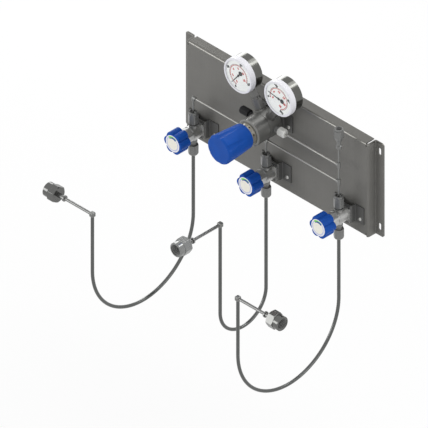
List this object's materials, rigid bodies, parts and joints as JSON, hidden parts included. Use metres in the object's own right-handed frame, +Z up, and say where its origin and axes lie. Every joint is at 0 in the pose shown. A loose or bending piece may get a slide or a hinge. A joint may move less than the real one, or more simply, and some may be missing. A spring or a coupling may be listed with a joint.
{
  "type": "gas regulator panel",
  "caption": "Wall panel with hand-wheeled gas cylinder valves on bent inlet tubes, a thin tube manifold and a knob-set pressure regulator with dial gauges.",
  "frame": {"origin": "on the wall behind the middle of the folded panel", "axes": "+X along the panel to the right as seen from the front, +Y into the wall, +Z up"},
  "size_m": [0.542, 0.2939, 0.4953],
  "materials": {
    "panel_steel": "brushed",
    "bracket_steel": "satin",
    "turned_steel": "turned, satin",
    "bright_steel": "polished",
    "tube_steel": "drawn, bright",
    "spring_steel": "satin",
    "seat_plastic": "matte",
    "blue_plastic": "satin gloss",
    "disc_plastic": "satin gloss",
    "bezel_plastic": "satin gloss",
    "dial_paint": "matte",
    "pointer_paint": "matte",
    "gauge_glass": "clear",
    "black_plastic": "satin",
    "bourdon_brass": "satin"
  },
  "bodies": {
    "panel": {"back_panel": "panel_steel", "bonnet_ring": "turned_steel", "bourdon_tubes": "bourdon_brass", "bracket_fasteners": "bright_steel", "cylinder_nipples": "tube_steel", "gauge_adaptors": "turned_steel", "gauge_bezels": "bezel_plastic", "gauge_cases": "turned_steel", "gauge_dials": "dial_paint", "gauge_lenses": "gauge_glass", "gauge_sockets": "turned_steel", "header_tubes": "tube_steel", "inlet_connectors": "turned_steel", "outlet_connectors": "turned_steel", "outlet_nuts": "turned_steel", "panel_outlet_connector": "turned_steel", "panel_outlet_nut": "turned_steel", "pigtail_elbows": "turned_steel", "pigtail_nuts": "turned_steel", "pigtail_tube_1": "tube_steel", "pigtail_tube_2": "tube_steel", "pigtail_tube_3": "tube_steel", "range_spring": "spring_steel", "regulator_body": "turned_steel", "regulator_bonnet": "turned_steel", "regulator_bracket": "bracket_steel", "regulator_diaphragm": "spring_steel", "regulator_port_connector": "bright_steel", "regulator_port_nut": "bright_steel", "relief_valve": "black_plastic", "riser_tubes": "tube_steel", "seat_rings": "seat_plastic", "valve_body_1": "turned_steel", "valve_body_2": "turned_steel", "valve_body_3": "turned_steel", "valve_bonnets": "turned_steel", "valve_brackets": "bracket_steel", "valve_diaphragms": "spring_steel", "weld_fittings": "tube_steel"},
    "handwheel_1": {"handwheel_1": "blue_plastic", "wheel_disc_1": "disc_plastic", "valve_spindle_1": "turned_steel"},
    "plunger_1": {"valve_plunger_1": "turned_steel"},
    "handwheel_2": {"handwheel_2": "blue_plastic", "wheel_disc_2": "disc_plastic", "valve_spindle_2": "turned_steel"},
    "plunger_2": {"valve_plunger_2": "turned_steel"},
    "handwheel_3": {"handwheel_3": "blue_plastic", "wheel_disc_3": "disc_plastic", "valve_spindle_3": "turned_steel"},
    "plunger_3": {"valve_plunger_3": "turned_steel"},
    "knob": {"regulator_knob": "blue_plastic", "adjusting_screw": "turned_steel"},
    "button": {"spring_button": "turned_steel"},
    "poppet": {"regulator_poppet": "turned_steel"},
    "pointer_1": {"gauge_pointer_1": "pointer_paint"},
    "pointer_2": {"gauge_pointer_2": "pointer_paint"},
    "cylinder_nut_1": {"cylinder_nut_1": "turned_steel"},
    "cylinder_nut_2": {"cylinder_nut_2": "turned_steel"},
    "cylinder_nut_3": {"cylinder_nut_3": "turned_steel"}
  },
  "joints": [
    {"name": "handwheel_1_turn", "type": "hinge", "parent": "panel", "child": "handwheel_1", "pos_m": [-0.168, -0.0454, -0.0575], "axis": [0, -1, 0], "range_deg": [0, 270]},
    {"name": "plunger_1_lift", "type": "slide", "parent": "panel", "child": "plunger_1", "axis": [0, -1, 0], "range_m": [0, 0.00075]},
    {"name": "handwheel_2_turn", "type": "hinge", "parent": "panel", "child": "handwheel_2", "pos_m": [0, -0.0454, -0.0575], "axis": [0, -1, 0], "range_deg": [0, 270]},
    {"name": "plunger_2_lift", "type": "slide", "parent": "panel", "child": "plunger_2", "axis": [0, -1, 0], "range_m": [0, 0.00075]},
    {"name": "handwheel_3_turn", "type": "hinge", "parent": "panel", "child": "handwheel_3", "pos_m": [0.168, -0.0454, -0.0575], "axis": [0, -1, 0], "range_deg": [0, 270]},
    {"name": "plunger_3_lift", "type": "slide", "parent": "panel", "child": "plunger_3", "axis": [0, -1, 0], "range_m": [0, 0.00075]},
    {"name": "knob_turn", "type": "hinge", "parent": "panel", "child": "knob", "pos_m": [0, -0.0454, 0.044], "axis": [0, 1, 0], "range_deg": [0, 1440]},
    {"name": "button_travel", "type": "slide", "parent": "panel", "child": "button", "axis": [0, 1, 0], "range_m": [0, 0.006], "deforming": ["range_spring"]},
    {"name": "poppet_lift", "type": "slide", "parent": "panel", "child": "poppet", "axis": [0, 1, 0], "range_m": [0, 0.0005]},
    {"name": "pointer_1_swing", "type": "hinge", "parent": "panel", "child": "pointer_1", "pos_m": [-0.0464, -0.0454, 0.12437], "axis": [0, 1, 0], "range_deg": [0, 277], "stiffness_Nm_per_rad": 0.0002},
    {"name": "pointer_2_swing", "type": "hinge", "parent": "panel", "child": "pointer_2", "pos_m": [0.0464, -0.0454, 0.12437], "axis": [0, 1, 0], "range_deg": [-61, 216], "stiffness_Nm_per_rad": 0.0002},
    {"name": "cylinder_nut_1_spin", "type": "hinge", "parent": "panel", "child": "cylinder_nut_1", "pos_m": [-0.168, -0.2784, -0.1061], "axis": [-1, 0, 0], "continuous": true},
    {"name": "cylinder_nut_2_spin", "type": "hinge", "parent": "panel", "child": "cylinder_nut_2", "pos_m": [0, -0.1514, -0.1061], "axis": [0, -1, 0], "continuous": true},
    {"name": "cylinder_nut_3_spin", "type": "hinge", "parent": "panel", "child": "cylinder_nut_3", "pos_m": [0.168, -0.2784, -0.1061], "axis": [1, 0, 0], "continuous": true}
  ],
  "couplings": [
    {"joint": "plunger_1_lift", "follows": "handwheel_1_turn", "m_per_rad": 0.00015915},
    {"joint": "plunger_2_lift", "follows": "handwheel_2_turn", "m_per_rad": 0.00015915},
    {"joint": "plunger_3_lift", "follows": "handwheel_3_turn", "m_per_rad": 0.00015915},
    {"joint": "button_travel", "follows": "knob_turn", "m_per_rad": 0.00023873},
    {"joint": "poppet_lift", "follows": "knob_turn", "m_per_rad": 0.000019894}
  ]
}
